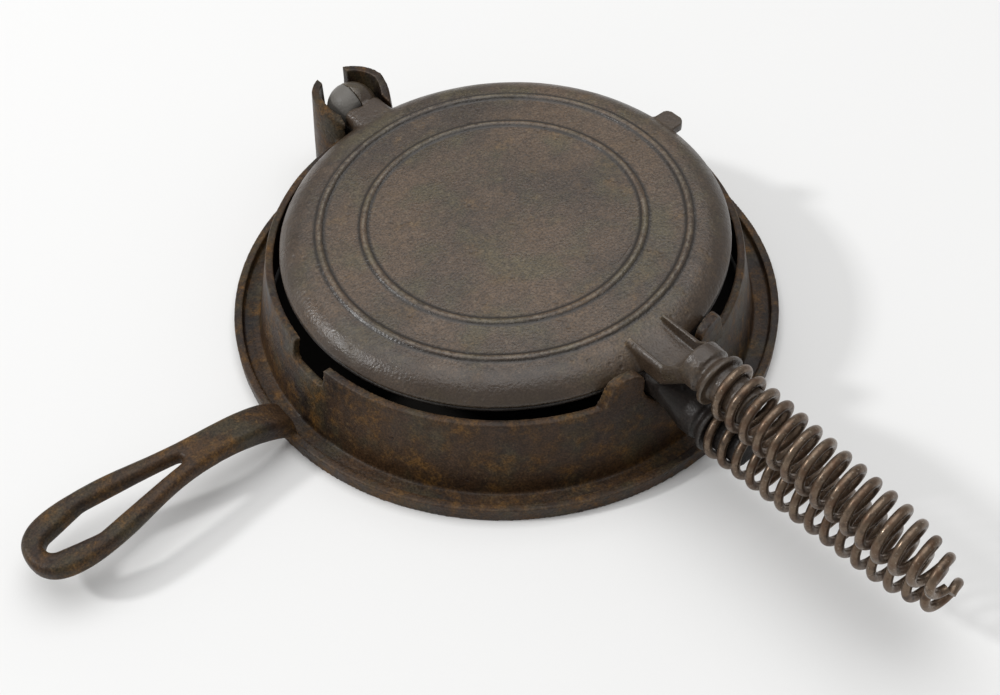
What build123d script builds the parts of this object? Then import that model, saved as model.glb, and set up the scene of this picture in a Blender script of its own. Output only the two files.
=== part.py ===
from build123d import *
import os
from math import cos, hypot, radians, sin, sqrt

# A round stovetop waffle iron of cast iron. The base is an open ring that stands
# over a stove's eye. The pair of plates lies in it, turns over in it about the
# line from the coil handles to the ball, and opens on a pin through that ball.
# Origin: the ring's centre on the stove. +Z is up, the coil handles point to -Y,
# the ball to +Y and the base's loop handle to -X. All sizes are in millimetres.

# ---- Driving dimensions ----------------------------------------------------

# Plates
cavity_radius = 86.0
seam_land = 11.0              # flat that seals round the cavity
plate_height = 8.5            # outer face above the line where the plates meet
plate_shoulder = 7.0          # how far the outer face drops towards its edge
shoulder_width = 13.0
parting_gap = 0.2             # between the closed plates
cavity_depth = 5.6
cavity_draft = 1.6            # how far the cavity's side leans in
stud_height = 2.6
stud_width = 6.6
stud_pitch = 11.4
stud_taper = 22.0             # degrees
divider_width = 3.4           # ribs that part the waffle in four
divider_gap = 0.2
outer_bead_ring = 79.0
inner_bead_ring = 60.0
bead_radius = 1.8
outer_bead_rise = 1.2
inner_bead_rise = 1.0

# Lug that drops into the rim's notch when the pair is turned over
lug_reach = 6.5               # beyond the plate
lug_width = 12.0
lug_height = 4.5
lug_rounding = 4.0

# Base ring
plate_clearance = 3.0         # between plate and rim
axis_above_rim = 5.0
rim_height = 37.0
wall_thickness = 3.4
wall_flare = 8.0              # how much wider the wall stands at its foot
gutter_width = 7.5
gutter_floor = 3.0
lip_width = 3.5
lip_height = 7.0
notch_width = 21.0
notch_depth = 9.5
notch_rounding = 3.5

# Front saddle between two horns
horn_span = 28.0              # half the distance over both tops
horn_foot = 33.0              # half the distance over both feet
horn_rise = 9.0               # above the turning axis
horn_thickness = 4.2
horn_rounding = 5.8
saddle_clearance = 0.6

# Ball hinge
ball_radius = 12.0
hinge_reach = 15.0            # from the plate's edge to the ball's centre
ball_clearance = 0.3
half_gap = 0.3                # between the two halves of the ball
pin_radius = 2.5
pin_clearance = 0.05
tab_half_width = 10.0
tab_height = 7.6
tab_rounding = 4.0
tab_end = 9.0                 # short of the ball's centre

# Cradle that holds the ball
cup_clearance = 2.3           # round the ball, above the seat
cup_depth = 8.0               # cup floor below the turning axis
cradle_top_wall = 3.7
cradle_draft = 3.6            # how much wider the cradle stands on the stove
ear_rise = 10.8               # above the turning axis
ear_front_drop = 6.0          # from the ball out to the ears' front ends
rear_slot_width = 14.0
swing_clearance = 0.6
swing_slot_depth = 15.6       # below the turning axis, in front of the seat
swing_slot_end = 3.4          # short of the ball's centre
cradle_core_radius = 12.0     # hollow underneath
cradle_core_depth = 20.0
cradle_core_draft = 3.0

# Loop handle
loop_length = 111.5           # beyond the lip
loop_stem_half_width = 7.7
loop_stem_length = 22.0
loop_half_width = 15.9
loop_widest = 84.0            # beyond the lip
loop_thickness = 8.2
loop_root_height = 9.5        # middle of the bar at the lip
loop_crest_height = 19.8      # middle of the bar where it stands highest
loop_crest = 32.0             # beyond the lip
loop_tip_height = 16.2        # middle of the bar at the tip
loop_eye_start = 43.5         # beyond the lip
loop_eye_end = 103.5
loop_eye_half_width = 7.7
loop_eye_fork_radius = 1.8
loop_eye_end_radius = 4.5
loop_rounding = 3.2
loop_eye_rounding = 3.0

# Coil handles
journal_half_width = 11.0
journal_height = 11.6
journal_rounding = 3.0
journal_reach = 9.5           # beyond the plate, through the saddle
channel_half_width = 8.3
channel_depth = 5.2
neck_length = 8.5             # from the journal out to the collar
handle_rise = 14.8            # handle axis above the parting, at the collar
handle_pitch = 2.0            # degrees towards the other handle
handle_yaw = 2.0              # degrees off the middle line
collar_radius = 9.6
collar_length = 7.0
groove_radius = 8.4
groove_length = 2.2
cone_radius = 11.2
cone_length = 4.0
stub_clearance = 0.3
stub_length = 16.0
wire_radius = 1.8
coil_radius = 9.8             # to the middle of the wire
coil_pitch = 7.06
coil_turns = 12               # full turns before the taper
taper_turns = 3
taper_angle = 10.0            # degrees
coil_seat_gap = 0.1

# Pose of the pair at rest: the side with the lug lies a little high
rest_roll = 2.07              # degrees

# ---- Sizes that follow -----------------------------------------------------

plate_radius = cavity_radius + seam_land
ball_distance = plate_radius + hinge_reach
axis_height = rim_height + axis_above_rim
mating_face = parting_gap / 2
inside_land = cavity_radius + seam_land / 10
cavity_floor = mating_face + cavity_depth
rim_inner = plate_radius + plate_clearance
rim_outer = rim_inner + wall_thickness
foot_inner = rim_inner + wall_flare
wall_foot = foot_inner + wall_thickness - wall_flare * gutter_floor / rim_height
lip_inner = wall_foot + gutter_width
lip_outer = lip_inner + lip_width
journal_radius = hypot(journal_half_width - journal_rounding,
                       journal_height - journal_rounding) + journal_rounding
saddle_radius = journal_radius + saddle_clearance
journal_end = plate_radius + journal_reach
collar_start = journal_end + neck_length
channel_floor = journal_height - channel_depth
cup_radius = ball_radius + cup_clearance
cradle_top_radius = cup_radius + cradle_top_wall
cradle_foot_radius = cradle_top_radius + cradle_draft
ear_top = axis_height + ear_rise
cup_floor = axis_height - cup_depth
tab_clear_radius = hypot(tab_half_width, tab_height) + swing_clearance
stub_radius = coil_radius - wire_radius - stub_clearance

# Where the pair lies. The lower casting is the upper one turned over.
upper_place = Location((0, 0, axis_height), (0, -rest_roll, 0))
lower_place = Location((0, 0, axis_height), (0, 180 - rest_roll, 0))

# The handle's axis, in the casting's own frame
handle_start = Vector(0, -collar_start, handle_rise)
handle_direction = Vector(-sin(radians(handle_yaw)) * cos(radians(handle_pitch)),
                          -cos(radians(handle_yaw)) * cos(radians(handle_pitch)),
                          -sin(radians(handle_pitch)))
handle_side = handle_direction.cross(Vector(0, 0, 1)).normalized()
handle_profile_plane = Plane(origin=handle_start, x_dir=handle_direction, z_dir=handle_side)
coil_start = collar_length + groove_length + cone_length + coil_seat_gap + wire_radius


def ring_solid() -> Part:
    """The wall, gutter and lip as one plain ring, before anything is cut."""
    with BuildPart() as ring:
        with BuildSketch(Plane.XZ):
            with BuildLine():
                Polyline((foot_inner, 0), (lip_outer, 0), (lip_outer, lip_height),
                         (lip_inner, lip_height), (lip_inner, gutter_floor),
                         (wall_foot, gutter_floor), (rim_outer, rim_height),
                         (rim_inner, rim_height), close=True)
            make_face()
        revolve(axis=Axis.Z)
    return ring.part


def ring_interior() -> Part:
    """The space inside the wall, and straight up above the rim."""
    with BuildPart() as interior:
        with BuildSketch(Plane.XZ):
            with BuildLine():
                Polyline((0, 0), (foot_inner, 0), (rim_inner, rim_height),
                         (rim_inner, 2 * axis_height), (0, 2 * axis_height), close=True)
            make_face()
        revolve(axis=Axis.Z)
    return interior.part


def cradle_envelope() -> Part:
    """The outer shape of the cradle: a tapered drum about the ball."""
    with BuildPart() as envelope:
        with BuildSketch(Plane.XY):
            with Locations((0, ball_distance)):
                Circle(cradle_foot_radius)
        with BuildSketch(Plane.XY.offset(ear_top)):
            with Locations((0, ball_distance)):
                Circle(cradle_top_radius)
        loft()
    return envelope.part


def front_horns() -> Part:
    """The two rounded horns that stand up on each side of the saddle."""
    buried = rim_height - wall_thickness * 2
    with BuildPart() as horns:
        with BuildSketch(Plane.XZ.offset(rim_inner / 2)) as face:
            with BuildLine():
                Polyline((-horn_foot, buried), (-horn_foot, rim_height),
                         (-horn_span, axis_height + horn_rise), (horn_span, axis_height + horn_rise),
                         (horn_foot, rim_height), (horn_foot, buried), close=True)
            make_face()
            with Locations((0, axis_height)):
                Circle(saddle_radius, mode=Mode.SUBTRACT)
            with Locations((0, axis_height + horn_rise)):
                Rectangle(2 * saddle_radius, 2 * horn_rise, mode=Mode.SUBTRACT)
            fillet(face.vertices().group_by(Axis.Y)[-1], horn_rounding)
        extrude(amount=rim_inner)
        with BuildSketch(Plane.XY):
            Circle(rim_inner + horn_thickness)
            Circle(rim_inner, mode=Mode.SUBTRACT)
        extrude(amount=2 * axis_height, mode=Mode.INTERSECT)
    return horns.part


def stud_places() -> list:
    """The middles of the studs that fit in the cavity, clear of the dividers."""
    count = int(cavity_radius / stud_pitch) + 1
    steps = [(index + 0.5) * stud_pitch + divider_width / 2 for index in range(count)]
    reach = cavity_radius - cavity_draft - stud_width / 2
    return [(sx * x, sy * y) for x in steps for y in steps if hypot(x, y) < reach - cavity_draft
            for sx in (-1, 1) for sy in (-1, 1)]


def ball_slice(radius: float, low: float, high: float) -> Part:
    """The ball between two planes across the hinge pin's axis."""
    with BuildPart() as piece:
        with BuildSketch(Plane.XY):
            with Locations((0, ball_distance)):
                Circle(radius)
            with Locations(((low + high) / 2, ball_distance + radius)):
                Rectangle(high - low, 2 * radius, mode=Mode.INTERSECT)
        revolve(axis=Axis((0, ball_distance, 0), (1, 0, 0)))
    return piece.part


def plate_casting() -> Part:
    """One plate with its half of the ball and its handle neck, meeting face down."""
    neck_end = collar_radius - journal_rounding / 10
    with BuildPart() as casting:
        # Dished disc
        with BuildSketch(Plane.XZ):
            with BuildLine():
                face_edge = (plate_radius - shoulder_width, plate_height)
                shoulder = TangentArc(face_edge, (plate_radius, plate_height - plate_shoulder),
                                      tangent=(1, 0))
                Polyline(shoulder @ 1, (plate_radius, mating_face), (cavity_radius, mating_face),
                         (cavity_radius - cavity_draft, cavity_floor), (0, cavity_floor),
                         (0, plate_height), face_edge)
            make_face()
        revolve(axis=Axis.Z)
        # Raised rings on the outer face
        with BuildSketch(Plane.XZ):
            with Locations((outer_bead_ring, plate_height + outer_bead_rise - bead_radius),
                           (inner_bead_ring, plate_height + inner_bead_rise - bead_radius)):
                Circle(bead_radius)
        revolve(axis=Axis.Z)
        # Tab out to the ball, rounded along its outer edges
        with BuildSketch(Plane.XZ.offset(-(ball_distance - tab_end))) as tab:
            with Locations((0, (mating_face + tab_height) / 2)):
                Rectangle(2 * tab_half_width, tab_height - mating_face)
            fillet(tab.vertices().group_by(Axis.Y)[-1], tab_rounding)
        extrude(amount=ball_distance - tab_end - inside_land)
        # Half a ball for each casting, with room for the other's half
        add(ball_slice(ball_radius + ball_clearance, -2 * ball_radius, half_gap / 2), mode=Mode.SUBTRACT)
        add(ball_slice(ball_radius, half_gap / 2, ball_radius))
        with BuildSketch(Plane.YZ):
            with Locations((ball_distance, 0)):
                Circle(pin_radius + pin_clearance)
        extrude(amount=2 * ball_radius, mode=Mode.SUBTRACT)
        # Journal through the saddle, then the neck out to the collar
        with BuildSketch(Plane.XZ.offset(inside_land)) as journal:
            with Locations((0, (mating_face + journal_height) / 2)):
                Rectangle(2 * journal_half_width, journal_height - mating_face)
            fillet(journal.vertices(), journal_rounding)
        extrude(amount=journal_end - inside_land)
        with BuildSketch(Plane.XZ.offset(journal_end)):
            with Locations((0, (mating_face + journal_height) / 2)):
                RectangleRounded(2 * journal_half_width, journal_height - mating_face, journal_rounding)
        with BuildSketch(Plane.XZ.offset(collar_start + collar_length / 4)):
            with Locations((0, handle_rise)):
                RectangleRounded(2 * neck_end, 2 * neck_end, neck_end - journal_rounding / 10)
        loft()
        # Channel between the neck's two ribs
        with BuildSketch(Plane.YZ.offset(-channel_half_width)):
            with BuildLine():
                Polyline((shoulder_width - plate_radius, plate_height), (-plate_radius, channel_floor),
                         (-journal_end, channel_floor),
                         (-collar_start, channel_floor + neck_length / 2),
                         (-collar_start, handle_rise + 2 * collar_radius),
                         (shoulder_width - plate_radius, handle_rise + 2 * collar_radius), close=True)
            make_face()
        extrude(amount=2 * channel_half_width, mode=Mode.SUBTRACT)
        # Collar, groove, cone and the stub that the coil is driven on
        groove_start = collar_length + groove_length
        cone_end = groove_start + cone_length
        with BuildSketch(handle_profile_plane):
            with BuildLine():
                Polyline((0, 0), (0, collar_radius), (collar_length, collar_radius),
                         (collar_length, groove_radius), (groove_start, groove_radius),
                         (cone_end - wire_radius, cone_radius), (cone_end, cone_radius),
                         (cone_end, stub_radius), (cone_end + stub_length, stub_radius),
                         (cone_end + stub_length, 0), close=True)
            make_face()
        revolve(axis=Axis(handle_start, handle_direction))
        # Studs and dividers on the meeting face
        with BuildSketch(Plane(origin=(0, 0, cavity_floor), z_dir=(0, 0, -1))):
            with Locations(*stud_places()):
                Rectangle(stud_width, stud_width)
        extrude(amount=stud_height, taper=stud_taper)
        with BuildSketch(Plane.XY.offset(mating_face + divider_gap)):
            Rectangle(2 * cavity_radius - cavity_draft, divider_width)
            Rectangle(divider_width, 2 * cavity_radius - cavity_draft)
        extrude(amount=cavity_depth)
    return casting.part


# ---- Base casting: ring, cradle and loop handle in one pour ---------------------

with BuildPart() as base_ring:
    add(ring_solid())
    add(front_horns())
    # Saddle through the front wall
    with BuildSketch(Plane.XZ.offset(plate_radius - plate_clearance)):
        with Locations((0, axis_height)):
            Circle(saddle_radius)
    extrude(amount=lip_outer - plate_radius, mode=Mode.SUBTRACT)
    # Notch in the rim for the lug
    with BuildSketch(Plane.YZ.offset(-(rim_inner - plate_clearance))) as notch:
        with Locations((0, rim_height)):
            Rectangle(notch_width, 2 * notch_depth)
        fillet(notch.vertices().group_by(Axis.Y)[0], notch_rounding)
    extrude(amount=-(lip_outer - rim_inner), mode=Mode.SUBTRACT)
    add(cradle_envelope(), mode=Mode.SUBTRACT)
base_ring.part.label = "base_ring"

with BuildPart() as hinge_cradle:
    add(cradle_envelope())
    # Ears slope down to their front ends
    with BuildSketch(Plane.YZ.offset(-cradle_foot_radius)):
        with BuildLine():
            Polyline((ball_distance, ear_top), (ball_distance - cradle_foot_radius,
                     ear_top - ear_front_drop * cradle_foot_radius / ball_radius),
                     (ball_distance - cradle_foot_radius, 2 * ear_top),
                     (ball_distance, 2 * ear_top), close=True)
        make_face()
    extrude(amount=2 * cradle_foot_radius, mode=Mode.SUBTRACT)
    # Cup, and the ball's seat in its floor
    with BuildSketch(Plane.XY.offset(cup_floor)):
        with Locations((0, ball_distance)):
            Circle(cup_radius)
    extrude(amount=ear_top, mode=Mode.SUBTRACT)
    with Locations((0, ball_distance, axis_height)):
        Sphere(ball_radius + ball_clearance, mode=Mode.SUBTRACT)
    # Way for the tabs as the pair turns over, and for the plate that swings open
    with BuildSketch(Plane.XZ.offset(-ball_distance)):
        with Locations((0, axis_height)):
            Circle(tab_clear_radius)
    extrude(amount=ball_distance, mode=Mode.SUBTRACT)
    with BuildSketch(Plane.XZ.offset(-(ball_distance - swing_slot_end))):
        with Locations((0, 2 * axis_height - swing_slot_depth)):
            Rectangle(2 * (tab_half_width + swing_clearance), 2 * axis_height)
    extrude(amount=ball_distance, mode=Mode.SUBTRACT)
    # Slot at the back
    with BuildSketch(Plane.XZ.offset(-ball_distance)):
        with Locations((0, cup_floor + axis_height)):
            Rectangle(rear_slot_width, 2 * axis_height)
    extrude(amount=-ball_distance, mode=Mode.SUBTRACT)
    add(ring_interior(), mode=Mode.SUBTRACT)
    # Hollow underneath
    with BuildSketch(Plane.XY):
        with Locations((0, ball_distance)):
            Circle(cradle_core_radius)
    with BuildSketch(Plane.XY.offset(cradle_core_depth)):
        with Locations((0, ball_distance)):
            Circle(cradle_core_radius - cradle_core_draft)
    loft(mode=Mode.SUBTRACT)
hinge_cradle.part.label = "hinge_cradle"

with BuildPart() as loop_handle:
    widest = lip_outer + loop_widest
    tip = lip_outer + loop_length
    stem_end = lip_outer + loop_stem_length
    eye_start = lip_outer + loop_eye_start
    eye_end = lip_outer + loop_eye_end
    with BuildSketch():
        with BuildLine():
            root = Line((-lip_inner, loop_stem_half_width), (-stem_end, loop_stem_half_width))
            side = Spline(root @ 1, (-widest, loop_half_width), (-tip, 0),
                          tangents=[(-1, 0), (0, -1)])
            mirror(about=Plane.XZ)
            Line((-lip_inner, -loop_stem_half_width), (-lip_inner, loop_stem_half_width))
        make_face()
    extrude(amount=axis_height)
    # Long eye, narrow where the bar forks
    with BuildSketch() as eye_plan:
        with Locations((-(eye_start + loop_eye_fork_radius), 0)):
            Circle(loop_eye_fork_radius)
        with Locations((-widest, 0)):
            Circle(loop_eye_half_width)
        with Locations((-(eye_end - loop_eye_end_radius), 0)):
            Circle(loop_eye_end_radius)
        make_hull()
    extrude(amount=axis_height, mode=Mode.SUBTRACT)
    # Side view: the bar climbs from the lip to its crest and sinks a little to the tip
    half_bar = loop_thickness / 2
    crest = lip_outer + loop_crest
    past_tip = tip + half_bar
    with BuildSketch(Plane.XZ.offset(-lip_outer)):
        with BuildLine():
            top = Spline((-lip_inner, loop_root_height + half_bar), (-crest, loop_crest_height + half_bar),
                         (-past_tip, loop_tip_height + half_bar), tangents=[(-1, 1), (-1, 0)])
            end = Line(top @ 1, (-past_tip, loop_tip_height - half_bar))
            under = Spline(end @ 1, (-crest, loop_crest_height - half_bar), (-lip_inner, gutter_floor / 2),
                           tangents=[(1, 0), (1, -1)])
            Line(under @ 1, top @ 0)
        make_face()
    extrude(amount=2 * lip_outer, mode=Mode.INTERSECT)
    # Round the bar's long edges, round the eye and outside
    long_edges = loop_handle.edges().filter_by(lambda e: abs((e % 0.5).Z) < 0.9)
    eye_edges = long_edges.filter_by(lambda e: e.center().X < -eye_start and e.length < loop_length / 2)
    fillet(eye_edges, loop_eye_rounding)
    long_edges = loop_handle.edges().filter_by(lambda e: abs((e % 0.5).Z) < 0.9)
    side_edges = long_edges.filter_by(
        lambda e: e.length > loop_length
        or e.center().X > -stem_end and abs(abs(e.center().Y) - loop_stem_half_width) < wall_thickness / 10)
    fillet(side_edges, loop_rounding)
    add(ring_solid(), mode=Mode.SUBTRACT)
loop_handle.part.label = "loop_handle"

# ---- The pair of plates ------------------------------------------------------------

casting = plate_casting()

with BuildPart() as upper_paddle:
    add(casting)
    with BuildSketch(Plane.XY.offset(mating_face)) as lug:
        with Locations((plate_radius + lug_reach / 2 - plate_shoulder / 2, 0)):
            Rectangle(lug_reach + plate_shoulder, lug_width)
        fillet(lug.vertices().group_by(Axis.X)[-1], lug_rounding)
    extrude(amount=lug_height)
upper_paddle.part.location = upper_place
upper_paddle.part.label = "upper_paddle"

with BuildPart() as lower_paddle:
    add(casting)
lower_paddle.part.location = lower_place
lower_paddle.part.label = "lower_paddle"

with BuildPart() as hinge_pin:
    pin_half = sqrt(ball_radius ** 2 - pin_radius ** 2) - pin_clearance
    with BuildSketch(Plane.YZ.offset(-pin_half)):
        with Locations((ball_distance, 0)):
            Circle(pin_radius)
    extrude(amount=2 * pin_half)
    chamfer(hinge_pin.edges(), pin_radius / 5)
hinge_pin.part.location = upper_place
hinge_pin.part.label = "hinge_pin"

# ---- Wire coil handles, drawn in to a blunt end ----------------------------------------

with BuildPart() as coil:
    first = handle_start + handle_direction * coil_start
    straight_height = coil_turns * coil_pitch
    taper_height = taper_turns * coil_pitch
    with BuildLine() as wire_path:
        Helix(coil_pitch, straight_height, coil_radius, center=first, direction=handle_direction)
        Helix(coil_pitch, taper_height, coil_radius, center=first + handle_direction * straight_height,
              direction=handle_direction, cone_angle=-taper_angle)
    with BuildSketch(Plane(origin=wire_path.wire() @ 0, z_dir=wire_path.wire() % 0)):
        Circle(wire_radius)
    sweep(is_frenet=True, transition=Transition.ROUND)

upper_coil_handle = coil.part.moved(upper_place)
upper_coil_handle.label = "upper_coil_handle"
lower_coil_handle = coil.part.moved(lower_place)
lower_coil_handle.label = "lower_coil_handle"

# ---- Write the pieces ----------------------------------------------------------------

os.makedirs("parts", exist_ok=True)
export_step(base_ring.part, "parts/base_ring.step")
export_step(hinge_cradle.part, "parts/hinge_cradle.step")
export_step(loop_handle.part, "parts/loop_handle.step")
export_step(upper_paddle.part, "parts/upper_paddle.step")
export_step(lower_paddle.part, "parts/lower_paddle.step")
export_step(hinge_pin.part, "parts/hinge_pin.step")
export_step(upper_coil_handle, "parts/upper_coil_handle.step")
export_step(lower_coil_handle, "parts/lower_coil_handle.step")
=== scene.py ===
"""The looks of a round stovetop waffle iron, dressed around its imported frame.

The iron is a pair of cast plates with wire coil handles, lying in an open cast
base with a loop handle. Everything is in metres, +Z up, with the base's centre
on the stove at the origin. The coil handles point to -Y and the ball to +Y.
"""

import logging
import math
from collections.abc import Iterable, Sequence
from dataclasses import dataclass, field
from enum import Enum

import bmesh
import bpy
from mathutils import Matrix, Vector, noise


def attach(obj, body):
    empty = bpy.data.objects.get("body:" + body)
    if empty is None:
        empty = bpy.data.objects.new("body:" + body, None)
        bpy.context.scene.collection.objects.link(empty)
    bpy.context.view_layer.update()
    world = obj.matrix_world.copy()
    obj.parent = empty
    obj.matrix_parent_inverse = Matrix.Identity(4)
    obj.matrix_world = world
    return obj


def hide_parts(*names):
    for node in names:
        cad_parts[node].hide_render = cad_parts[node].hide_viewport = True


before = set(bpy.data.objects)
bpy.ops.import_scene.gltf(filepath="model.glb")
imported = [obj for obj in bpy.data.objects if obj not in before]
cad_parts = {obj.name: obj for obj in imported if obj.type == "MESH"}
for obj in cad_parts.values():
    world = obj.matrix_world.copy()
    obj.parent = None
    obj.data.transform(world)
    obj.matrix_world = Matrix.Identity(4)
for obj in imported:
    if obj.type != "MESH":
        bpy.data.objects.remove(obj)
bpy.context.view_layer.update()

MM = 0.001
SAME_POINT = 0.002 * MM
LID_RING_RADII = (79.0 * MM, 60.0 * MM)
NOISE_SPAN = (0.3, 0.7)
MIX_FIRST_COLOUR, MIX_SECOND_COLOUR, MIX_COLOUR_OUT = 6, 7, 2
log = logging.getLogger("waffle_iron")

Colour = tuple[float, float, float]


class Side(Enum):
    """Which plate of the pair."""

    UPPER = "upper"
    LOWER = "lower"


# ---------------------------------------------------------------- node helpers


@dataclass
class Graph:
    """A node tree, with short calls to add nodes and join them."""

    tree: bpy.types.NodeTree

    def add(self, kind: str, **values: object) -> bpy.types.Node:
        """Adds one node.

        Args:
            kind: The node's type, such as "ShaderNodeMix".
            **values: Properties to set on the node.

        Returns:
            The new node.
        """
        node = self.tree.nodes.new(kind)
        for name, value in values.items():
            setattr(node, name, value)
        return node

    def feed(self, node: bpy.types.Node, **inputs: object) -> bpy.types.Node:
        """Sets or links a node's inputs, named with _ for each space.

        Args:
            node: The node to feed.
            **inputs: A socket to link or a plain value for each input.

        Returns:
            The same node.
        """
        for name, value in inputs.items():
            self.put(value, node.inputs[name.replace("_", " ")])
        return node

    def put(self, value: object, socket: bpy.types.NodeSocket) -> None:
        """Links a socket to an input, or sets the input's own value.

        Args:
            value: A socket, a number or a colour.
            socket: The input that takes it.
        """
        if isinstance(value, bpy.types.NodeSocket):
            self.tree.links.new(value, socket)
        elif isinstance(value, tuple) and len(value) == 3 and socket.type == "RGBA":
            socket.default_value = (*value, 1.0)
        else:
            socket.default_value = value

    def noise(self, vector: bpy.types.NodeSocket, scale: object, detail: float = 4.0,
              roughness: float = 0.55) -> bpy.types.NodeSocket:
        """A noise pattern.

        Args:
            vector: Where the pattern is read.
            scale: Features per metre, as a number or a socket.
            detail: Octaves of finer noise.
            roughness: Strength of the finer octaves.

        Returns:
            The pattern's value, about 0 to 1.
        """
        node = self.add("ShaderNodeTexNoise")
        self.feed(node, Vector=vector, Scale=scale, Detail=detail, Roughness=roughness)
        return node.outputs["Fac"]

    def ramp(self, value: bpy.types.NodeSocket, low: object, high: object,
             to_low: float = 0.0, to_high: float = 1.0) -> bpy.types.NodeSocket:
        """Maps a value from one range to another, smoothly and clamped.

        Args:
            value: The value to map.
            low: Where the ramp starts.
            high: Where the ramp ends.
            to_low: What low becomes.
            to_high: What high becomes.

        Returns:
            The mapped value.
        """
        node = self.add("ShaderNodeMapRange", interpolation_type="SMOOTHSTEP")
        self.feed(node, Value=value, From_Min=low, From_Max=high, To_Min=to_low, To_Max=to_high)
        return node.outputs["Result"]

    def math(self, operation: str, first: object, second: object = 0.0) -> bpy.types.NodeSocket:
        """One sum on two numbers.

        Args:
            operation: The Math node's operation.
            first: The first number or socket.
            second: The second number or socket.

        Returns:
            The result.
        """
        node = self.add("ShaderNodeMath", operation=operation)
        self.put(first, node.inputs[0])
        self.put(second, node.inputs[1])
        return node.outputs[0]

    def split(self, vector: bpy.types.NodeSocket) -> bpy.types.Node:
        """Splits a vector into X, Y and Z.

        Args:
            vector: The vector.

        Returns:
            The node with the three outputs.
        """
        node = self.add("ShaderNodeSeparateXYZ")
        self.put(vector, node.inputs[0])
        return node

    def axis_distance(self, parts: bpy.types.Node) -> bpy.types.NodeSocket:
        """The distance from the Z axis.

        Args:
            parts: The node that split the place.

        Returns:
            The distance.
        """
        square = self.math("ADD", self.math("MULTIPLY", parts.outputs["X"], parts.outputs["X"]),
                           self.math("MULTIPLY", parts.outputs["Y"], parts.outputs["Y"]))
        return self.math("SQRT", square)

    def bumped(self, height: bpy.types.NodeSocket) -> bpy.types.NodeSocket:
        """A normal that is raised by a height in metres.

        Args:
            height: The height.

        Returns:
            The normal.
        """
        node = self.add("ShaderNodeBump")
        self.feed(node, Strength=1.0, Distance=1.0, Height=height)
        return node.outputs["Normal"]

    def mix(self, share: object, first: object, second: object,
            blend: str = "MIX") -> bpy.types.NodeSocket:
        """Mixes two colours.

        Args:
            share: How much of the second shows.
            first: The first colour or socket.
            second: The second colour or socket.
            blend: The Mix node's blend type.

        Returns:
            The mixed colour.
        """
        node = self.add("ShaderNodeMix", data_type="RGBA", blend_type=blend)
        self.put(share, node.inputs[0])
        self.put(first, node.inputs[MIX_FIRST_COLOUR])
        self.put(second, node.inputs[MIX_SECOND_COLOUR])
        return node.outputs[MIX_COLOUR_OUT]


def dimmed(colour: Colour, share: float) -> Colour:
    """Darkens a colour.

    Args:
        colour: The colour.
        share: What is left of it.

    Returns:
        The darker colour.
    """
    return tuple(share * channel for channel in colour)


def new_material(name: str) -> tuple[bpy.types.Material, Graph, bpy.types.Node,
                                     bpy.types.NodeSocket]:
    """Starts a material whose patterns follow the object.

    Args:
        name: The material's name.

    Returns:
        The material, its graph, its shader and the place that patterns are read at.
    """
    material = bpy.data.materials.new(name)
    material.use_nodes = True
    graph = Graph(material.node_tree)
    place = graph.add("ShaderNodeTexCoord").outputs["Object"]
    return material, graph, material.node_tree.nodes["Principled BSDF"], place


def new_group(name: str, inputs: Iterable[tuple[str, str, float]],
              outputs: Iterable[tuple[str, str]]) -> tuple[Graph, bpy.types.Node, bpy.types.Node]:
    """Starts a shader node group with named sockets.

    Args:
        name: The group's name.
        inputs: Name, socket type and default value of each input.
        outputs: Name and socket type of each output.

    Returns:
        The group's graph, its input node and its output node.
    """
    tree = bpy.data.node_groups.new(name, "ShaderNodeTree")
    for label, kind, default in inputs:
        socket = tree.interface.new_socket(label, in_out="INPUT", socket_type=kind)
        if kind == "NodeSocketFloat":
            socket.default_value = default
    for label, kind in outputs:
        tree.interface.new_socket(label, in_out="OUTPUT", socket_type=kind)
    graph = Graph(tree)
    return graph, graph.add("NodeGroupInput"), graph.add("NodeGroupOutput")


def mottle_group() -> bpy.types.NodeTree:
    """Builds the patches and specks that rust and old oil leave on iron.

    Returns:
        The node group "iron_mottle".
    """
    graph, source, target = new_group(
        "iron_mottle",
        [("Vector", "NodeSocketVector", 0.0), ("Patch Scale", "NodeSocketFloat", 60.0),
         ("Speck Scale", "NodeSocketFloat", 500.0), ("Coverage", "NodeSocketFloat", 0.5)],
        [("Patches", "NodeSocketFloat"), ("Specks", "NodeSocketFloat"),
         ("Cloud", "NodeSocketFloat")])
    vector = source.outputs["Vector"]
    cloud = graph.noise(vector, source.outputs["Patch Scale"], detail=6.0, roughness=0.62)
    softness = 0.13
    edge = graph.math("SUBTRACT", 1.0, source.outputs["Coverage"])
    patches = graph.ramp(cloud, graph.math("SUBTRACT", edge, softness),
                         graph.math("ADD", edge, softness))
    speckle = graph.noise(vector, source.outputs["Speck Scale"], detail=2.0, roughness=0.5)
    specks = graph.ramp(speckle, 0.62, 0.74)
    graph.feed(target, Patches=patches, Specks=specks, Cloud=cloud)
    return graph.tree


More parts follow.
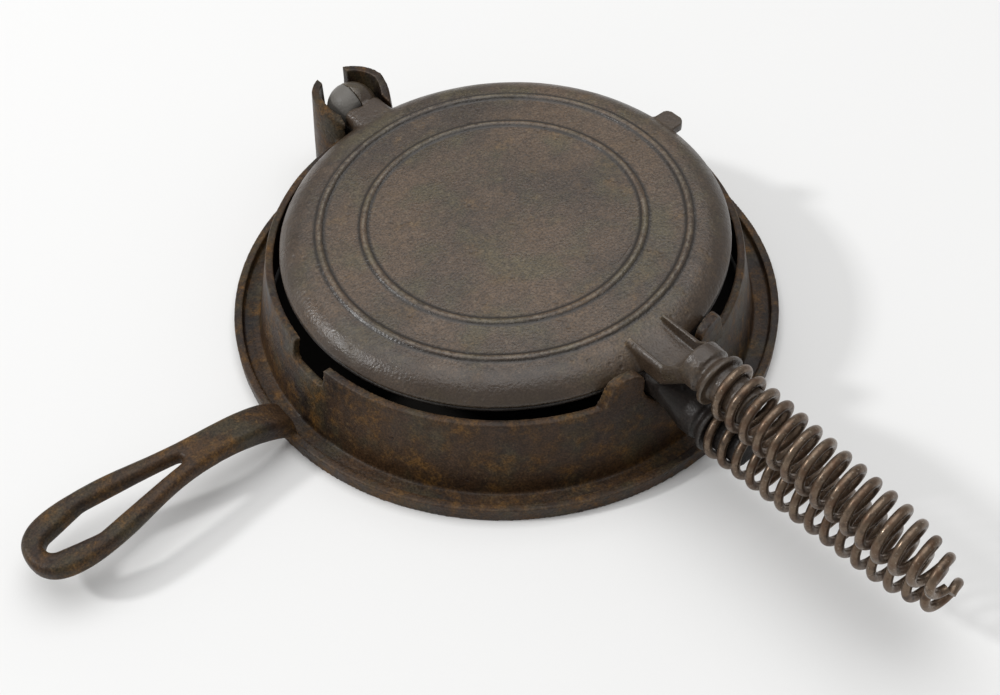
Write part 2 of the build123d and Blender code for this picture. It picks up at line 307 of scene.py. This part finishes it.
def grain_group() -> bpy.types.NodeTree:
    """Builds the sandy skin and the pits of a casting.

    Returns:
        The node group "casting_grain", whose Height is in metres.
    """
    graph, source, target = new_group(
        "casting_grain",
        [("Vector", "NodeSocketVector", 0.0), ("Grain Scale", "NodeSocketFloat", 900.0),
         ("Grain Height", "NodeSocketFloat", 0.08 * MM), ("Pit Scale", "NodeSocketFloat", 260.0),
         ("Pit Depth", "NodeSocketFloat", 0.12 * MM)],
        [("Height", "NodeSocketFloat"), ("Pits", "NodeSocketFloat")])
    vector = source.outputs["Vector"]
    sand = graph.noise(vector, source.outputs["Grain Scale"], detail=2.0, roughness=0.5)
    sand_height = graph.math("MULTIPLY", sand, source.outputs["Grain Height"])
    cells = graph.add("ShaderNodeTexVoronoi", feature="F1")
    graph.feed(cells, Vector=vector, Scale=source.outputs["Pit Scale"])
    field_scale = 70.0
    pitted_ground = graph.ramp(graph.noise(vector, field_scale, detail=3.0, roughness=0.5),
                               0.5, 0.66)
    round_pit = graph.ramp(cells.outputs["Distance"], 0.08, 0.34, to_low=1.0, to_high=0.0)
    pits = graph.math("MULTIPLY", round_pit, pitted_ground)
    pit_height = graph.math("MULTIPLY", pits, source.outputs["Pit Depth"])
    graph.feed(target, Height=graph.math("SUBTRACT", sand_height, pit_height), Pits=pits)
    return graph.tree


def ring_group() -> bpy.types.NodeTree:
    """Builds the marks of a raised ring round Z: its crest, which takes a painted highlight, and
    the painted shade beside it.

    Returns:
        The node group "raised_ring".
    """
    graph, source, target = new_group(
        "raised_ring",
        [("Vector", "NodeSocketVector", 0.0), ("Radius", "NodeSocketFloat", 79.0 * MM),
         ("Half Width", "NodeSocketFloat", 1.3 * MM)],
        [("Crest", "NodeSocketFloat"), ("Dirt", "NodeSocketFloat")])
    reach = graph.axis_distance(graph.split(source.outputs["Vector"]))
    away = graph.math("ABSOLUTE", graph.math("SUBTRACT", reach, source.outputs["Radius"]))
    half_widths = graph.math("DIVIDE", away, source.outputs["Half Width"])
    crest = graph.ramp(half_widths, 0.1, 0.9, to_low=1.0, to_high=0.0)
    # Painted shade: a dark band on each side of the ring.
    ring_shade = graph.math("MULTIPLY", graph.ramp(half_widths, 0.7, 1.25),
                      graph.ramp(half_widths, 1.5, 2.6, to_low=1.0, to_high=0.0))
    graph.feed(target, Crest=crest, Dirt=ring_shade)
    return graph.tree


@dataclass(frozen=True)
class Finish:
    """The node groups that the finishes share, each placed with a finish's own values."""

    mottle: bpy.types.NodeTree
    grain: bpy.types.NodeTree
    ring: bpy.types.NodeTree


@dataclass(frozen=True)
class CastIron:
    """Old cast iron with its seasoning, rust and rubbed edges, plus painted shade and painted
    highlights.
    """

    name: str
    body: Colour
    dark: Colour
    rust: Colour
    wear_and_glint: Colour
    fleck: Colour
    stain: Colour
    rust_share: float
    rust_least: float = 0.25
    patch_scale: float = 70.0
    broad_coarseness: float = 0.28
    stain_coarseness: float = 0.55
    speck_scale: float = 520.0
    medium_coarseness: float = 0.5
    sand_scale: float = 1150.0
    sand_contrast: float = 0.42
    stain_share: float = 0.7
    pit_share: float = 0.6
    fleck_share: float = 0.22
    # Painted shade in the hollows: how much of it, and how dark.
    crevice_shade_share: float = 0.7
    crevice_shade_tone: float = 0.35
    roughness: float = 0.48
    roughness_swing: float = 0.1
    grain_height: float = 0.21 * MM
    pit_depth: float = 0.22 * MM
    gloss: float = 0.30
    ring_radii: tuple[float, ...] = ()
    ring_half_width: float = 1.3 * MM
    # Painted shade beside the raised rings: how much of it, and how dark.
    ring_shade_share: float = 0.9
    ring_shade_tone: float = 0.3
    # Painted highlight on the ring crests: its greatest share.
    ring_glint: float = 0.35
    glint_scale: float = 420.0
    ball_start: float = 102.0 * MM
    ball_fade: float = 3.0 * MM
    ball_wear: float = 0.0
    # Painted shade on the plate's shoulder, from rim_start to rim_end.
    rim_start: float = 84.0 * MM
    rim_end: float = 96.0 * MM
    rim_shade: float = 0.75
    rim_cloud_scale: float = 22.0

    def tone(self, graph: Graph, place: bpy.types.NodeSocket, mottle: bpy.types.Node,
             pits: bpy.types.NodeSocket) -> bpy.types.NodeSocket:
        """Mixes the colour of the skin, with painted shade in its hollows.

        Args:
            graph: The material's graph.
            place: Where the patterns are read.
            mottle: The mottle group's node.
            pits: The mask of the pits.

        Returns:
            The colour.
        """
        broad = graph.noise(place, self.patch_scale * self.broad_coarseness,
                            detail=4.0, roughness=0.55)
        oily = graph.noise(place, self.patch_scale * self.stain_coarseness,
                           detail=5.0, roughness=0.6)
        medium = graph.noise(place, self.speck_scale * self.medium_coarseness,
                             detail=4.0, roughness=0.65)
        sand = graph.noise(place, self.sand_scale, detail=2.0, roughness=0.6)
        tone = graph.mix(graph.ramp(broad, 0.38, 0.62), self.body, self.dark)
        stained = graph.ramp(oily, 0.46, 0.66, to_high=self.stain_share)
        tone = graph.mix(stained, tone, self.stain)
        rusty = graph.math("MULTIPLY", mottle.outputs["Patches"],
                           graph.ramp(medium, 0.38, 0.62, to_low=self.rust_least))
        tone = graph.mix(rusty, tone, self.rust)
        fine_shade = graph.ramp(sand, *NOISE_SPAN, to_low=1.0 - self.sand_contrast,
                                to_high=1.0 + self.sand_contrast)
        tone = graph.mix(1.0, tone, fine_shade, blend="MULTIPLY")
        medium_shade = graph.ramp(medium, *NOISE_SPAN, to_low=0.82, to_high=1.15)
        tone = graph.mix(1.0, tone, medium_shade, blend="MULTIPLY")
        tone = graph.mix(graph.math("MULTIPLY", pits, self.pit_share), tone, self.dark)
        flecks = graph.math("MULTIPLY", mottle.outputs["Specks"], self.fleck_share)
        tone = graph.mix(flecks, tone, self.fleck)
        sharpness = graph.add("ShaderNodeNewGeometry").outputs["Pointiness"]
        rubbed = graph.math("MULTIPLY", graph.ramp(sharpness, 0.52, 0.58),
                            graph.ramp(medium, 0.3, 0.6, to_low=0.15, to_high=0.75))
        tone = graph.mix(rubbed, tone, self.wear_and_glint)
        # Painted shade: hollows, where pointiness is low, are darkened.
        crevice_shade = graph.ramp(sharpness, 0.42, 0.488, to_low=self.crevice_shade_share, to_high=0.0)
        return graph.mix(crevice_shade, tone, dimmed(self.dark, self.crevice_shade_tone))

    def marked(self, graph: Graph, place: bpy.types.NodeSocket, ring: bpy.types.NodeTree,
               tone: bpy.types.NodeSocket) -> bpy.types.NodeSocket:
        """Adds a plate's own marks: painted shade and a painted highlight along its raised rings,
        its rubbed ball and painted shade on its rim.

        Args:
            graph: The material's graph.
            place: Where the marks are measured.
            ring: The shared ring group.
            tone: The colour so far.

        Returns:
            The colour.
        """
        if not self.ring_radii:
            return tone
        glint = graph.ramp(graph.noise(place, self.glint_scale, detail=3.0, roughness=0.6),
                           0.42, 0.62, to_high=self.ring_glint)
        for radius in self.ring_radii:
            node = graph.add("ShaderNodeGroup", node_tree=ring)
            graph.feed(node, Vector=place, Radius=radius, Half_Width=self.ring_half_width)
            # Painted shade: a dark band beside each raised ring.
            ring_shade = graph.math("MULTIPLY", node.outputs["Dirt"], self.ring_shade_share)
            tone = graph.mix(ring_shade, tone, dimmed(self.dark, self.ring_shade_tone))
            # Painted highlight: the wear colour is laid on the ring crest where the glint noise is
            # high.
            crest = graph.math("MULTIPLY", node.outputs["Crest"], glint)
            tone = graph.mix(crest, tone, self.wear_and_glint)
        parts = graph.split(place)
        ball = graph.ramp(parts.outputs["Y"], self.ball_start, self.ball_start + self.ball_fade,
                          to_high=self.ball_wear)
        tone = graph.mix(ball, tone, self.wear_and_glint)
        # Painted shade: a clouded dark band over the plate's shoulder.
        edge = graph.ramp(graph.axis_distance(parts), self.rim_start, self.rim_end,
                          to_high=self.rim_shade)
        cloud = graph.ramp(graph.noise(place, self.rim_cloud_scale, detail=3.0),
                           0.35, 0.6, to_low=0.45)
        return graph.mix(graph.math("MULTIPLY", edge, cloud), tone, self.dark)

    def build(self, shared: Finish) -> bpy.types.Material:
        """Makes the material.

        Args:
            shared: The node groups that the finishes share.

        Returns:
            The material.
        """
        material, graph, shader, place = new_material(self.name)
        mottle = graph.add("ShaderNodeGroup", node_tree=shared.mottle)
        graph.feed(mottle, Vector=place, Patch_Scale=self.patch_scale,
                   Speck_Scale=self.speck_scale, Coverage=self.rust_share)
        grain = graph.add("ShaderNodeGroup", node_tree=shared.grain)
        graph.feed(grain, Vector=place, Grain_Height=self.grain_height, Pit_Depth=self.pit_depth)
        tone = self.tone(graph, place, mottle, grain.outputs["Pits"])
        tone = self.marked(graph, place, shared.ring, tone)
        rough = graph.ramp(mottle.outputs["Cloud"], *NOISE_SPAN,
                           to_low=self.roughness - self.roughness_swing,
                           to_high=self.roughness + self.roughness_swing)
        graph.feed(shader, Base_Color=tone, Roughness=rough,
                   Normal=graph.bumped(grain.outputs["Height"]))
        shader.inputs["Specular IOR Level"].default_value = self.gloss
        return material


@dataclass(frozen=True)
class TarnishedWire:
    """Drawn steel wire, browned by heat and bright where hands rub it."""

    name: str
    body: Colour
    dark: Colour
    rust: Colour
    bright: Colour
    rust_share: float = 0.45
    patch_scale: float = 190.0
    speck_scale: float = 900.0
    brown_scale: float = 420.0
    brown_share: float = 0.7
    bright_share: float = 0.5
    grain_scale: float = 1500.0
    grain_height: float = 0.03 * MM
    pit_scale: float = 500.0
    pit_depth: float = 0.05 * MM
    smoothest: float = 0.24
    roughest: float = 0.46
    metal: float = 0.75

    def build(self, shared: Finish) -> bpy.types.Material:
        """Makes the material.

        Args:
            shared: The node groups that the finishes share.

        Returns:
            The material.
        """
        material, graph, shader, place = new_material(self.name)
        mottle = graph.add("ShaderNodeGroup", node_tree=shared.mottle)
        graph.feed(mottle, Vector=place, Patch_Scale=self.patch_scale,
                   Speck_Scale=self.speck_scale, Coverage=self.rust_share)
        grain = graph.add("ShaderNodeGroup", node_tree=shared.grain)
        graph.feed(grain, Vector=place, Grain_Scale=self.grain_scale,
                   Grain_Height=self.grain_height, Pit_Scale=self.pit_scale,
                   Pit_Depth=self.pit_depth)
        tone = graph.mix(mottle.outputs["Patches"], self.body, self.rust)
        browned = graph.ramp(graph.noise(place, self.brown_scale, detail=3.0),
                             0.5, 0.72, to_high=self.brown_share)
        tone = graph.mix(browned, tone, self.dark)
        rubbed = graph.math("MULTIPLY", mottle.outputs["Specks"], self.bright_share)
        tone = graph.mix(rubbed, tone, self.bright)
        rough = graph.ramp(mottle.outputs["Cloud"], *NOISE_SPAN,
                           to_low=self.smoothest, to_high=self.roughest)
        graph.feed(shader, Base_Color=tone, Roughness=rough,
                   Normal=graph.bumped(grain.outputs["Height"]))
        shader.inputs["Metallic"].default_value = self.metal
        return material


# ------------------------------------------------------------------ mesh helpers


def merged_copy(name: str, nodes: Sequence[str]) -> bpy.types.Object:
    """Copies CAD nodes into one new object, with the loose triangles of each merged.

    Args:
        name: The new object's name.
        nodes: The CAD nodes to copy.

    Returns:
        The object, at the origin.
    """
    whole = bmesh.new()
    for node in nodes:
        part = bmesh.new()
        part.from_mesh(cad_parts[node].data)
        bmesh.ops.remove_doubles(part, verts=part.verts, dist=SAME_POINT)
        loose = bpy.data.meshes.new(node + "_copy")
        part.to_mesh(loose)
        whole.from_mesh(loose)
        part.free()
        bpy.data.meshes.remove(loose)
    mesh = bpy.data.meshes.new(name)
    whole.to_mesh(mesh)
    whole.free()
    made = bpy.data.objects.new(name, mesh)
    bpy.context.scene.collection.objects.link(made)
    return made


def apply_modifiers(made: bpy.types.Object) -> None:
    """Puts an object's modifiers into its mesh.

    Args:
        made: The object, which keeps no modifier.
    """
    bpy.context.view_layer.update()
    graph = bpy.context.evaluated_depsgraph_get()
    final = bpy.data.meshes.new_from_object(made.evaluated_get(graph))
    old = made.data
    made.modifiers.clear()
    made.data = final
    bpy.data.meshes.remove(old)
    final.name = made.name


def dress(made: bpy.types.Object, material: bpy.types.Material) -> None:
    """Gives an object one material, in place of those it has.

    Args:
        made: The object.
        material: The material.
    """
    made.data.materials.clear()
    made.data.materials.append(material)


@dataclass(frozen=True)
class SandCasting:
    """How a casting's mesh is poured: its softened corners and its uneven skin."""

    voxel: float = 0.62 * MM
    quick_coarseness: float = 2.2
    softening: int = 2
    softening_share: float = 0.5
    most_triangles: int = 180000
    wave_height: float = 0.10 * MM
    wave_scale: float = 55.0
    ripple_height: float = 0.035 * MM
    ripple_scale: float = 240.0

    def pour(self, made: bpy.types.Object) -> None:
        """Turns sharp solids into one cast skin.

        Args:
            made: The object whose mesh is recast.
        """
        remesh = made.modifiers.new("skin", "REMESH")
        remesh.mode = "VOXEL"
        remesh.voxel_size = self.voxel * 1.0
        soften = made.modifiers.new("soften", "SMOOTH")
        soften.factor = self.softening_share
        soften.iterations = self.softening
        apply_modifiers(made)
        triangles = 2 * len(made.data.polygons)
        if triangles > self.most_triangles:
            thin = made.modifiers.new("thin", "DECIMATE")
            thin.ratio = self.most_triangles / triangles
            apply_modifiers(made)
        normals = [vertex.normal.copy() for vertex in made.data.vertices]
        for vertex, normal in zip(made.data.vertices, normals):
            wave = noise.noise(vertex.co * self.wave_scale) * self.wave_height
            ripple = noise.noise(vertex.co * self.ripple_scale) * self.ripple_height
            vertex.co += normal * (wave + ripple)
        made.data.shade_smooth()


# ----------------------------------------------------------------------- pieces


@dataclass
class Base:
    """The base casting: ring, cradle and loop handle in one pour."""

    material: bpy.types.Material
    casting: SandCasting = field(default_factory=SandCasting)
    nodes: tuple[str, ...] = ("base_ring", "hinge_cradle", "loop_handle")

    def make(self) -> bpy.types.Object:
        """Builds the casting and puts it in place of its CAD nodes.

        Returns:
            The casting.
        """
        made = merged_copy("base_casting", self.nodes)
        self.casting.pour(made)
        dress(made, self.material)
        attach(made, "base")
        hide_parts(*self.nodes)
        return made


@dataclass
class Plate:
    """One plate casting with its half of the ball and its handle neck."""

    side: Side
    material: bpy.types.Material
    casting: SandCasting = field(default_factory=SandCasting)

    def make(self) -> bpy.types.Object:
        """Builds the casting and puts it in place of its CAD node.

        Returns:
            The casting.
        """
        node = f"{self.side.value}_paddle"
        made = merged_copy(f"{self.side.value}_plate_casting", [node])
        self.casting.pour(made)
        dress(made, self.material)
        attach(made, f"{self.side.value}_plate")
        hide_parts(node)
        return made


@dataclass
class Coil:
    """A wire coil handle, which keeps its CAD mesh and gets a finish."""

    side: Side
    material: bpy.types.Material

    def make(self) -> bpy.types.Object:
        """Dresses the CAD node.

        Returns:
            The CAD node's object.
        """
        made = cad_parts[f"{self.side.value}_coil_handle"]
        dress(made, self.material)
        return made


@dataclass
class Pin:
    """The hinge pin through the ball, which keeps its CAD mesh and gets a finish."""

    material: bpy.types.Material

    def make(self) -> bpy.types.Object:
        """Dresses the CAD node.

        Returns:
            The CAD node's object.
        """
        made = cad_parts["hinge_pin"]
        dress(made, self.material)
        return made


# ----------------------------------------------------------------------- studio


@dataclass
class Studio:
    """The floor, the lamps and the camera."""

    azimuth: float = -38.37
    elevation: float = 48.50
    roll: float = -1.94
    distance: float = 0.56465
    target: tuple[float, float, float] = (-0.03245, -0.03543, 0.020)
    lens: float = 48.435
    sensor: float = 36.0
    nearest: float = 0.01
    farthest: float = 50.0
    floor_size: float = 12.0
    floor_tone: Colour = (0.82, 0.82, 0.815)
    # The painted shade on the floor inside the base's ring: its colour, reach and soft edge.
    painted_shade_tone: Colour = (0.02, 0.018, 0.016)
    painted_shade_radius: float = 110.0 * MM
    painted_shade_fade: float = 4.0 * MM
    floor_roughness: float = 0.9
    floor_gloss: float = 0.1
    key_power: float = 58.0
    key_azimuth: float = -128.0
    key_elevation: float = 37.0
    key_size: float = 0.42
    top_power: float = 116.0
    top_azimuth: float = 150.0
    top_elevation: float = 78.0
    top_size: float = 4.5
    lamp_distance: float = 4.0
    sky: float = 0.42

    def camera(self) -> bpy.types.Object:
        """Places the camera.

        Returns:
            The scene's camera.
        """
        across, rise, tilt = (math.radians(a) for a in (self.azimuth, self.elevation, self.roll))
        forward = Vector((-math.sin(across) * math.cos(rise), math.cos(across) * math.cos(rise),
                          -math.sin(rise)))
        right = Vector((math.cos(across), math.sin(across), 0.0))
        up = right.cross(forward)
        right_rolled = right * math.cos(tilt) + up * math.sin(tilt)
        up_rolled = up * math.cos(tilt) - right * math.sin(tilt)
        data = bpy.data.cameras.new("camera")
        data.lens = self.lens
        data.sensor_width = self.sensor
        data.sensor_fit = "HORIZONTAL"
        data.clip_start = self.nearest
        data.clip_end = self.farthest
        made = bpy.data.objects.new("camera", data)
        bpy.context.scene.collection.objects.link(made)
        turn = Matrix((right_rolled, up_rolled, -forward)).transposed()
        eye = Vector(self.target) - forward * self.distance
        made.matrix_world = Matrix.Translation(eye) @ turn.to_4x4()
        bpy.context.scene.camera = made
        return made

    def floor(self) -> bpy.types.Object:
        """Lays the pale floor, with painted shade where the iron's base closes it in.

        Returns:
            The floor.
        """
        grid = bmesh.new()
        bmesh.ops.create_grid(grid, x_segments=1, y_segments=1, size=self.floor_size / 2)
        mesh = bpy.data.meshes.new("floor")
        grid.to_mesh(mesh)
        grid.free()
        made = bpy.data.objects.new("floor", mesh)
        bpy.context.scene.collection.objects.link(made)
        material, graph, shader, place = new_material("pale_floor")
        # Painted shade: a dark disc on the floor inside the base's ring.
        span = graph.add("ShaderNodeVectorMath", operation="LENGTH")
        graph.put(place, span.inputs[0])
        painted_shade = graph.ramp(span.outputs["Value"], self.painted_shade_radius - self.painted_shade_fade,
                           self.painted_shade_radius, to_low=1.0, to_high=0.0)
        graph.feed(shader, Base_Color=graph.mix(painted_shade, self.floor_tone, self.painted_shade_tone))
        shader.inputs["Roughness"].default_value = self.floor_roughness
        shader.inputs["Specular IOR Level"].default_value = self.floor_gloss
        mesh.materials.append(material)
        return made

    def lamp(self, name: str, azimuth: float, elevation: float, power: float, size: float) -> None:
        """Hangs one soft lamp that faces the object.

        Args:
            name: The lamp's name.
            azimuth: Its side, in degrees: 0 is in front, at -Y, and 90 is at +X.
            elevation: Its height, in degrees.
            power: Its power in watts.
            size: The side of its square, in metres.
        """
        around, rise = math.radians(azimuth), math.radians(elevation)
        away = Vector((math.sin(around) * math.cos(rise), -math.cos(around) * math.cos(rise),
                       math.sin(rise)))
        data = bpy.data.lights.new(name, "AREA")
        data.energy = power
        data.size = size
        made = bpy.data.objects.new(name, data)
        bpy.context.scene.collection.objects.link(made)
        made.location = away * self.lamp_distance
        made.rotation_euler = away.to_track_quat("Z", "Y").to_euler()

    def build(self) -> None:
        """Makes the camera, the floor, the lamps and the plain sky."""
        self.camera()
        self.floor()
        self.lamp("key_lamp", self.key_azimuth, self.key_elevation, self.key_power, self.key_size)
        self.lamp("top_lamp", self.top_azimuth, self.top_elevation, self.top_power, self.top_size)
        world = bpy.data.worlds.new("sky")
        bpy.context.scene.world = world
        world.use_nodes = True
        back = world.node_tree.nodes["Background"]
        back.inputs["Color"].default_value = (1.0, 1.0, 1.0, 1.0)
        back.inputs["Strength"].default_value = self.sky
        bpy.context.scene.view_settings.view_transform = "Standard"


# ------------------------------------------------------------------------ main


def build_finishes() -> dict[str, bpy.types.Material]:
    """Builds every material of the iron.

    Returns:
        The materials by name.
    """
    shared = Finish(mottle_group(), grain_group(), ring_group())
    base = CastIron("base_cast_iron", body=(0.046, 0.024, 0.011), dark=(0.018, 0.012, 0.010),
                    rust=(0.095, 0.046, 0.011), wear_and_glint=(0.15, 0.11, 0.08), fleck=(0.17, 0.12, 0.06),
                    stain=(0.052, 0.040, 0.020), rust_share=0.44, patch_scale=95.0, gloss=0.24)
    upper = CastIron("upper_plate_iron", body=(0.084, 0.055, 0.034), dark=(0.042, 0.029, 0.020),
                     rust=(0.098, 0.060, 0.026), wear_and_glint=(0.26, 0.22, 0.16), fleck=(0.20, 0.17, 0.12),
                     stain=(0.076, 0.062, 0.032), rust_share=0.36, roughness=0.36, gloss=0.50,
                     ring_radii=LID_RING_RADII)
    lower = CastIron("lower_plate_iron", body=(0.030, 0.021, 0.016), dark=(0.014, 0.011, 0.010),
                     rust=(0.048, 0.026, 0.012), wear_and_glint=(0.27, 0.255, 0.23), fleck=(0.12, 0.10, 0.07),
                     stain=(0.030, 0.025, 0.015), rust_share=0.35, ball_wear=0.9,
                     ring_radii=LID_RING_RADII)
    wire = TarnishedWire("coil_wire_steel", body=(0.16, 0.115, 0.08), dark=(0.045, 0.034, 0.028),
                         rust=(0.115, 0.068, 0.042), bright=(0.42, 0.37, 0.30))
    return {spec.name: spec.build(shared) for spec in (base, upper, lower, wire)}


def main() -> None:
    """Builds the studio and every piece, and reports each."""
    logging.basicConfig(level=logging.INFO, format="%(message)s")
    Studio().build()
    finishes = build_finishes()
    builders = [
        Base(finishes["base_cast_iron"]),
        Plate(Side.UPPER, finishes["upper_plate_iron"]),
        Plate(Side.LOWER, finishes["lower_plate_iron"]),
        Pin(finishes["lower_plate_iron"]),
        Coil(Side.UPPER, finishes["coil_wire_steel"]),
        Coil(Side.LOWER, finishes["coil_wire_steel"]),
    ]
    for builder in builders:
        made = builder.make()
        log.info("%s: %d faces", made.name, len(made.data.polygons))


if __name__ == "__main__":
    main()
